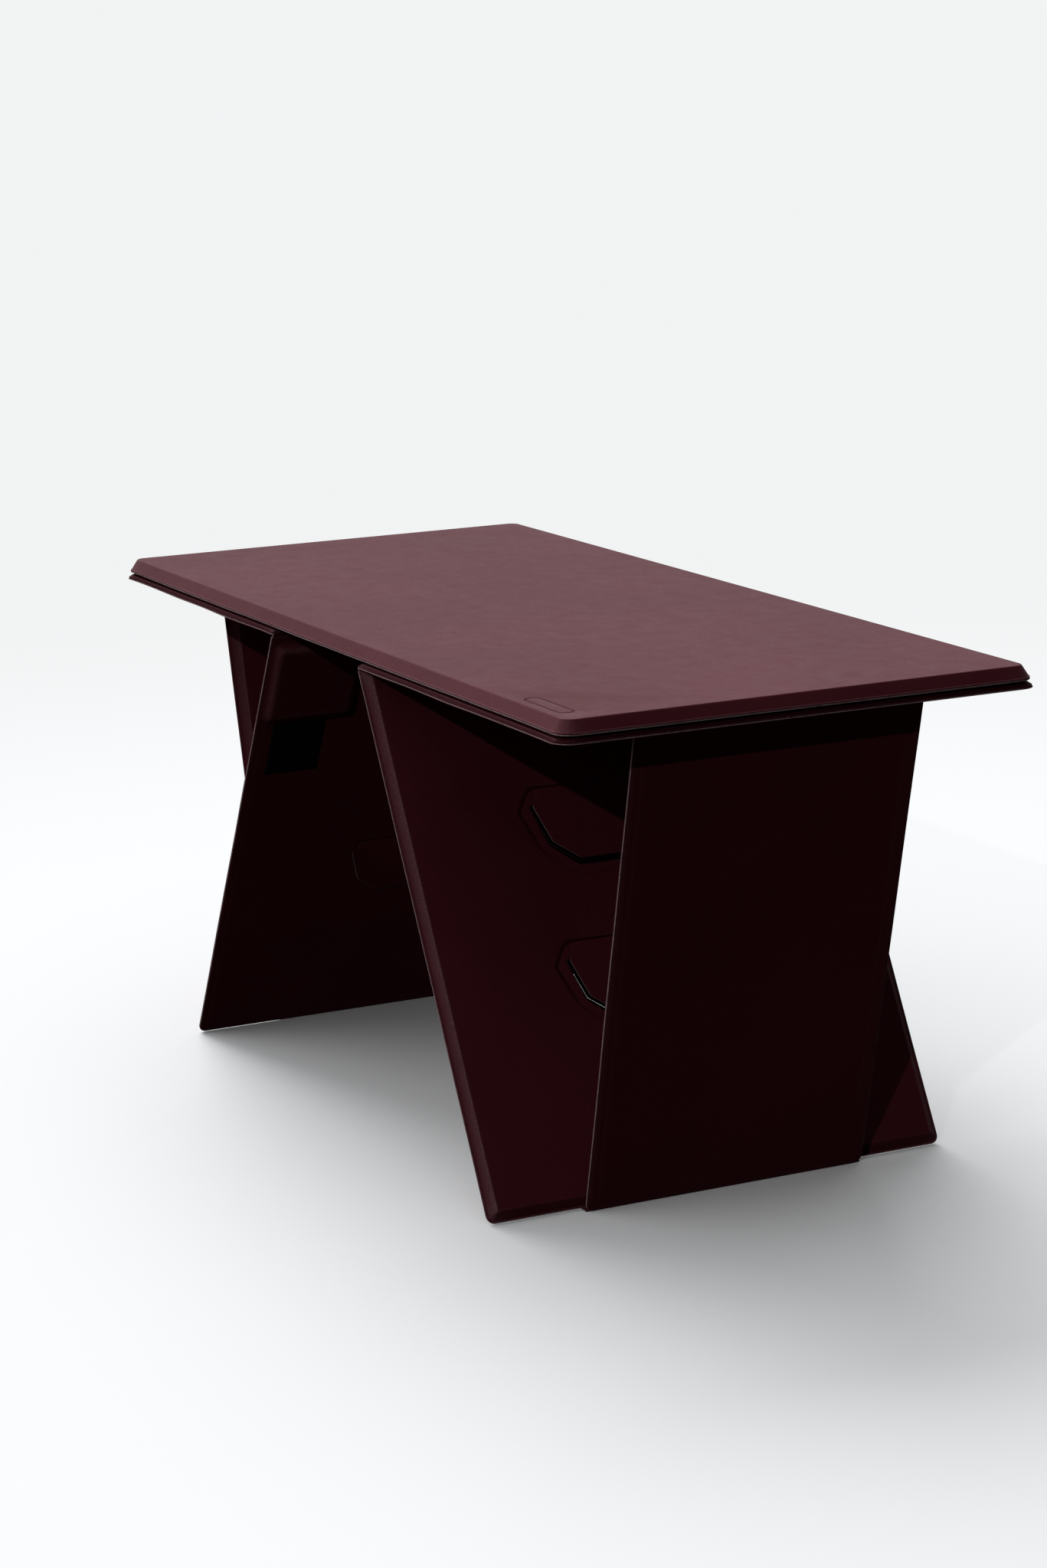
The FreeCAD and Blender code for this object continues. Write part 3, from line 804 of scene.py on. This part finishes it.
# ------------------------------------------------------------------ push tabs
# Half outlines in the inner panel's frame: (x from the tab's crease, y from the middle).
TAB_OUTLINE = [(0.0, 57.5), (-10.1, 60.8), (-32.4, 53.3), (-44.0, 38.0)]
GROOVE_LINE = [(0.5, 57.9), (-0.8, 61.8), (-13.0, 70.0), (-37.6, 60.7), (-54.0, 42.0)]
BASE_CUT = [
    (1.0, 58.3), (0.0, 58.45), (-9.5, 61.6), (-11.5, 61.7),
    (-14.0, 60.1), (-32.7, 53.85), (-44.5, 38.25),
]
COVER_CUT = [
    (1.0, 57.45), (0.0, 57.53), (-9.6, 60.67), (-9.9, 63.9), (-34.6, 56.6), (-48.2, 39.8),
]
TAB_SKIN = 0.7
TAB_SWELL = 0.22         # leather beyond each face of the CAD tab
TAB_SHOULDER = 9.5       # the raw rim starts this far below the crease
CREASE_HALF_WIDTH = 57.2
# Half section of the crease strip: (x from the crease, z beyond the tab's face)
CREASE_SECTION = [(0.02, -0.02), (0.25, -0.35), (0.5, -0.5), (0.75, -0.33), (0.98, 0.2)]


def about_crease(half_outline, crease):
    return mirrored([(crease + x, y) for x, y in half_outline])


def build_tab(tab, frame, crease):
    """Push tab: leather on board, its cut edge showing as a pale rim."""
    low, high = local_box(tab, frame)
    bottom, top = low[2] - TAB_SWELL, high[2] + TAB_SWELL
    outline = split_path(round_closed(about_crease(TAB_OUTLINE, crease), 1.6), True, 6.0)

    def loop(inset, z):
        """The outline moved inwards, hardly at all near the crease."""
        # The outline runs clockwise, so its inside is to the right.
        points = []
        for (ax, ay), (bx, by) in zip(outline, offset_path(outline, -inset, True)):
            share = smoothstep((crease - 8.0 - ax) / 3.0) * 0.94 + 0.06
            points.append((ax + (bx - ax) * share, ay + (by - ay) * share, z))
        return points

    face, rim, board = range(3)
    # (inset, z, slot of the band that ends here)
    profile = [
        (1.2, bottom, face), (0.30, bottom + 0.03, face), (0.06, bottom + 0.14, rim),
        (0.0, bottom + 0.35, rim), (0.0, bottom + TAB_SKIN, board),
        (0.12, bottom + TAB_SKIN + 0.08, board), (0.12, top - TAB_SKIN - 0.08, board),
        (0.0, top - TAB_SKIN, board), (0.0, top - 0.45, board),
        (0.06, top - 0.14, rim), (0.30, top - 0.03, face), (1.2, top, face),
    ]
    shape = Shape()
    rings = [loop(inset, z) for inset, z, _ in profile]
    shape.rings(rings, [slot for _, _, slot in profile[1:]])
    # The creased shoulders keep the cover's finish; only the die-cut sides show a raw rim.
    shape.faces = [
        (points, face if sum(p[0] for p in points) / len(points) > crease - TAB_SHOULDER else slot)
        for points, slot in shape.faces
    ]
    shape.add(cap(rings[0], lambda x, y: bottom))
    shape.add(cap(rings[-1], lambda x, y: top))

    def wear(x, y, z):
        on_rim = x < crease - TAB_SHOULDER and distance_to((x, y), outline, True) < 0.2
        return 0.2 if on_rim else 0.0

    piece = shape.make(tab + "_leather", frame, [COVER, EDGE, FIBRE], wear=wear)
    register(piece, tab, tab)
    build_crease(tab, frame, crease, bottom, top)


def build_crease(tab, frame, crease, bottom, top):
    """Strip of creased leather that joins a tab to the panel along its top."""
    section = [(crease + x, top + rise) for x, rise in CREASE_SECTION]
    section += [(crease + x, bottom - rise) for x, rise in reversed(CREASE_SECTION)]
    half, count = CREASE_HALF_WIDTH, 24
    across = [-half + 2 * half * i / count for i in range(count + 1)]
    loops = [[(x, y, z) for x, z in section] for y in across]
    strip = Shape()
    strip.rings(loops)
    strip.add([loops[0], loops[-1]])
    # Painted shade along the crease, darker towards its ends.
    piece = strip.make(
        tab + "_crease", frame, [WEB],
        painted_shade=lambda x, y, z: 0.75 * smoothstep((abs(y) - 6.0) / 40.0) + 0.2,
    )
    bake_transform(piece)


# ------------------------------------------------------------------ pad and patch
def build_pad(side, frame):
    """Stowage pad: moulded leather over a soft block, slightly crowned."""
    node = side + "_stowage_pad"
    outline = outline_of(node, frame, [8.0] * 4)
    x0, x1, y0, y1, _ = outline
    shoulder = -(-local_box(node, frame)[0][2] - 0.35)
    crown_height, crown_inset = 0.35, 9.0

    def loop(inset, height_at):
        points = ring(outline, inset, least_radius=2.0, arc_steps=8, step=5.0)
        return [(x, y, height_at(x, y)) for x, y in points]

    def crown(x, y):
        u = (x - (x0 + x1) / 2) / ((x1 - x0) / 2)
        v = (y - (y0 + y1) / 2) / ((y1 - y0) / 2)
        return crown_height * max(0.0, 1 - u * u) * max(0.0, 1 - v * v)

    # (inset, z)
    profile = round_open(
        [
            (0.0, -CLEARANCE), (0.0, -0.75), (1.0, -1.0),
            (5.2, shoulder), (crown_inset, shoulder),
        ],
        [0.3, 0.5, 1.8],
    )
    rings = [loop(inset, lambda x, y: z) for inset, z in profile]
    for inset in (12.0, 15.0, 18.0, 21.0, 24.0, 27.0):
        share = smoothstep((inset - crown_inset) / 9.0)
        rings.append(loop(inset, lambda x, y: shoulder - crown(x, y) * share))
    shape = Shape()
    shape.rings(rings)
    shape.add([rings[-1], rings[0]])

    def wear(x, y, z):
        return 0.45 * bell(inset_at(outline, x, y) - 4.2, 2.2)

    pad = shape.make(node + "_leather", frame, [COVER], wear=wear)
    register(pad, node, side + "_inner")


def build_patch(side, frame):
    """Hook and loop patch: a backing with a tufted face."""
    node = side + "_hook_patch"
    low, high = local_box(node, frame)
    count_x, count_y = 56, 50
    tuft_height = 0.16
    edge_drops = {0: 0.28, 1: 0.1}  # by rows in from the edge
    grid = []
    for i in range(count_x + 1):
        row = []
        for j in range(count_y + 1):
            x = low[0] + (high[0] - low[0]) * i / count_x
            y = low[1] + (high[1] - low[1]) * j / count_y
            z = low[2]
            edge = min(i, count_x - i, j, count_y - j)
            if edge in edge_drops:
                z += edge_drops[edge]
            elif (i + j) % 2 == 0:
                uneven = 0.6 + 0.8 * abs(noise.noise(Vector((x * 1.7, y * 1.7, 2.0))))
                z -= tuft_height * uneven
            row.append((x, y, z))
        grid.append(row)
    shape = Shape()
    for i in range(count_x):
        for j in range(count_y):
            shape.add([[grid[i][j], grid[i + 1][j], grid[i + 1][j + 1], grid[i][j + 1]]])
    rim = [grid[i][0] for i in range(count_x)]
    rim += [grid[count_x][j] for j in range(count_y)]
    rim += [grid[i][count_y] for i in range(count_x, 0, -1)]
    rim += [grid[0][j] for j in range(count_y, 0, -1)]
    back = [(x, y, -CLEARANCE) for x, y, _ in rim]
    shape.band(rim, back)
    shape.add([back])
    patch = shape.make(node + "_pile", frame, [PILE], sharp=80)
    register(patch, node, side + "_inner")


# ------------------------------------------------------------------ leather at the folds
def build_web(name, node, line, thickness, y0, y1):
    """Strip of leather that bends between two bodies.
    It is swept along Y from a centre line of (x, z) points, in world mm."""
    count = len(line)
    upper, lower = [], []
    for i in range(count):
        along = Vector(line[min(i + 1, count - 1)]) - Vector(line[max(i - 1, 0)])
        along = along.normalized()
        normal = Vector((-along.y, along.x))
        point = Vector(line[i])
        upper.append(point + normal * thickness / 2)
        lower.append(point - normal * thickness / 2)
    section = [tuple(point) for point in upper + lower[::-1]]
    steps = max(2, round((y1 - y0) / 6.0))
    across = [y0 + (y1 - y0) * i / steps for i in range(steps + 1)]
    loops = [[(x, y, z) for x, z in section] for y in across]
    shape = Shape()
    shape.rings(loops)
    # The strip's two ends show the raw cut.
    last = 2 * count - 1
    for loop in (loops[0], loops[-1]):
        for i in range(count - 1):
            shape.add([[loop[i], loop[i + 1], loop[last - 1 - i], loop[last - i]]], slot=1)
    strip = shape.make(name, WORLD, [WEB, EDGE])
    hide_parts(node)
    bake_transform(strip)


def build_fold(side, sign, frame):
    """Leather at the crease between the mount panel and the inner panel."""
    name = side + "_fold_leather"
    mount_low, mount_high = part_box(side + "_mount_base_skin")
    edge = min(abs(mount_low.x), abs(mount_high.x)) / MM
    low, high = local_box(side + "_inner_base_skin", frame)
    up = frame.to_3x3() @ Vector((1, 0, 0))
    start = (sign * (edge + 1.2), (mount_low.z + mount_high.z) / 2 / MM)
    tip = frame @ (Vector((high[0] - 0.8, 0, (low[2] + high[2]) / 2)) * MM) / MM
    end = (tip.x, tip.z)
    pull = 2.3
    line = bezier(
        start, (start[0] - sign * 2.5, start[1] + 0.05),
        (end[0] + up.x * pull, end[1] + up.z * pull), end, steps=14,
    )
    build_web(
        name, side + "_fold_web", line, 0.62,
        mount_low.y / MM + 0.6, mount_high.y / MM - 0.6,
    )


def build_foot(side, sign, inner_frame, outer_frame):
    """Leather across the foot crease, from the inner panel's foot to the outer panel's."""
    name = side + "_foot_leather"
    low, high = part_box(side + "_foot_web")
    end_z, middle_z = 0.42, 0.32
    start = ((inner_frame.translation / MM).x + sign * 0.35, end_z)
    end = ((outer_frame.translation / MM).x - sign * 0.55, end_z)
    pull = (end[0] - start[0]) * 0.3
    line = bezier(start, (start[0] + pull, middle_z), (end[0] - pull, middle_z), end, steps=12)
    build_web(
        name, side + "_foot_web", line, 0.56,
        low.y / MM + 0.4, high.y / MM - 0.4,
    )


# ------------------------------------------------------------------ legs
MOUNT_RADII = [11.0, 2.0, 2.0, 11.0]
LEG_RADII = [5.0, 2.0, 2.0, 5.0]
LEG_SKIN = 0.7


def build_leg(side, sign, seed):
    mount_frame, inner_frame, outer_frame = leg_frames(side, sign)
    Panel(
        side + "_mount", "root", mount_frame, MOUNT_RADII, LEG_SKIN, step=0.5, bevel=1.8,
        sag=2.0, seed=seed,
    ).build()

    tabs = [side + "_upper_tab", side + "_lower_tab"]
    creases = [local_box(tab, inner_frame)[1][0] for tab in tabs]
    grooves = []
    for crease in creases:
        corners = about_crease(GROOVE_LINE, crease)
        path = split_path(round_open(corners, [2.5] * (len(corners) - 2), steps=4), False, 5.0)
        grooves.append(Groove(path, width=1.45, depth=0.62, closed=False, fade_from=crease - 50.0))
    Panel(
        side + "_inner", side + "_inner", inner_frame, LEG_RADII, LEG_SKIN, step=1.3, bevel=5.7,
        seed=seed + 1, rub=0.8, grooves=grooves,
        openings=[split_path(about_crease(COVER_CUT, crease), True, 8.0) for crease in creases],
        base_openings=[
            split_path(about_crease(BASE_CUT, crease), True, 8.0) for crease in creases
        ],
    ).build()
    Panel(
        side + "_outer", side + "_outer", outer_frame, LEG_RADII, LEG_SKIN, step=1.3, bevel=7.5,
        seed=seed + 2, rub=0.8,
    ).build()

    for tab, crease in zip(tabs, creases):
        build_tab(tab, inner_frame, crease)
    build_pad(side, inner_frame)
    build_patch(side, inner_frame)
    build_fold(side, sign, inner_frame)
    build_foot(side, sign, inner_frame, outer_frame)


# ------------------------------------------------------------------ finishes on CAD nodes
def finish_of(node):
    if node.endswith("_core"):
        return FIBRE
    if "magnet" in node:
        return NICKEL
    if node.endswith(("_plate", "_plates")):
        return ZINC
    if node.endswith("_hook_patch"):
        return PILE
    if "web" in node:
        return WEB
    return BASE if "base" in node else COVER


def finish_cad_nodes():
    for node, piece in NODES.items():
        piece.data.materials.clear()
        piece.data.materials.append(finish_of(node))


# ------------------------------------------------------------------ stage
BACKDROP = (0.985, 0.995, 1.0)
BACKDROP_STRENGTH = 0.90


def floor_material():
    """Pale to the camera, melting into the backdrop far out; dim to the object."""
    graph = Graph(bpy.data.materials.new("floor"))
    camera_ray = graph.node("LightPath").outputs["Is Camera Ray"]
    pale = graph.node("BsdfDiffuse", {0: (0.80, 0.81, 0.82)}).outputs[0]
    dim = graph.node("BsdfDiffuse", {0: (0.013, 0.005, 0.006)}).outputs[0]
    surface = graph.mix_shaders(camera_ray, dim, pale)
    backdrop = graph.node("Emission", {0: BACKDROP, 1: BACKDROP_STRENGTH}).outputs[0]
    place = graph.node("TexCoord").outputs["Object"]
    reach = graph.node("VectorMath", {0: place}, operation="LENGTH").outputs["Value"]
    far = graph.fade(reach, low=0.45, high=1.9)
    surface = graph.mix_shaders(graph.scaled(far, by=camera_ray), surface, backdrop)
    # From underneath the floor is clear, so the feet and the underside can be looked at.
    clear = graph.node("BsdfTransparent").outputs[0]
    behind = graph.node("NewGeometry").outputs["Backfacing"]
    surface = graph.mix_shaders(graph.scaled(behind, by=camera_ray), surface, clear)
    graph.node("OutputMaterial", {0: surface})
    return graph.owner


def build_floor():
    half, drop = 40.0, 0.0002
    mesh = bpy.data.meshes.new("floor")
    corners = [(-half, -half, 0), (half, -half, 0), (half, half, 0), (-half, half, 0)]
    mesh.from_pydata(corners, [], [(0, 1, 2, 3)])
    floor = bpy.data.objects.new("floor", mesh)
    bpy.context.scene.collection.objects.link(floor)
    floor.location.z = -drop
    mesh.materials.append(floor_material())
    return floor


def build_world():
    """Even and pale to the camera; to the object, bright on one side and dim on the other."""
    world = bpy.data.worlds.new("studio")
    bpy.context.scene.world = world
    graph = Graph(world)
    direction = graph.node("TexCoord").outputs["Generated"]
    bright_side = (-0.86, -0.30, 0.41)
    facing = graph.node("VectorMath", {0: direction, 1: bright_side}, operation="DOT_PRODUCT")
    glow = graph.fade(facing.outputs["Value"], low=0.0, high=0.52, to_low=0.02, to_high=0.79)
    camera_ray = graph.node("LightPath").outputs["Is Camera Ray"]
    inputs = {0: camera_ray, 2: glow, 3: BACKDROP_STRENGTH}
    strength = graph.node("Mix", inputs, data_type="FLOAT").outputs[0]
    background = graph.node("Background", {0: BACKDROP, 1: strength}).outputs[0]
    graph.node("OutputWorld", {0: background})


def sun(name, direction, strength, degrees, colour=(1, 1, 1)):
    """Sun lamp shining along the direction; degrees is its apparent width."""
    data = bpy.data.lights.new(name, "SUN")
    data.energy = strength
    data.angle = math.radians(degrees)
    data.color = colour
    lamp = bpy.data.objects.new(name, data)
    lamp.rotation_mode = "QUATERNION"
    lamp.rotation_quaternion = Vector(direction).to_track_quat("-Z", "Y")
    bpy.context.scene.collection.objects.link(lamp)
    return lamp


def build_lights(floor):
    sun("key", (-1.45, 1.57, -1.07), strength=0.29, degrees=0.6, colour=(1.0, 0.985, 0.97))
    glow = sun("backdrop_glow", (0.80, -0.06, -0.60), strength=2.8, degrees=44.0)
    glow.visible_glossy = False
    # This one lights only the floor.
    dome = sun("floor_dome", (-0.15, 0.2, -1.0), strength=0.72, degrees=95.0)
    receivers = bpy.data.collections.new("floor_dome_receivers")
    receivers.objects.link(floor)
    dome.light_linking.receiver_collection = receivers


def build_camera():
    data = bpy.data.cameras.new("camera")
    camera = bpy.data.objects.new("camera", data)
    bpy.context.scene.collection.objects.link(camera)
    data.sensor_width = 36.0
    data.lens = 84.8858203
    data.clip_start, data.clip_end = 0.05, 200.0
    right = Vector((0.4387, 0.8983, -0.0235)).normalized()
    ahead = Vector((-0.8797, 0.4240, -0.2152))
    ahead = (ahead - right * ahead.dot(right)).normalized()
    placement = Matrix((right, right.cross(ahead), -ahead)).transposed().to_4x4()
    placement.translation = Vector((1.9782278, -0.9648031, 0.6760908))
    camera.matrix_world = placement
    bpy.context.scene.camera = camera


def set_view():
    view = bpy.context.scene.view_settings
    view.view_transform = "Standard"
    view.look = "None"
    view.exposure = 0.0
    view.gamma = 1.0


build_board()
build_leg("right", 1, seed=3)
build_leg("left", -1, seed=8)
finish_cad_nodes()
stage_floor = build_floor()
build_world()
build_lights(stage_floor)
build_camera()
set_view()
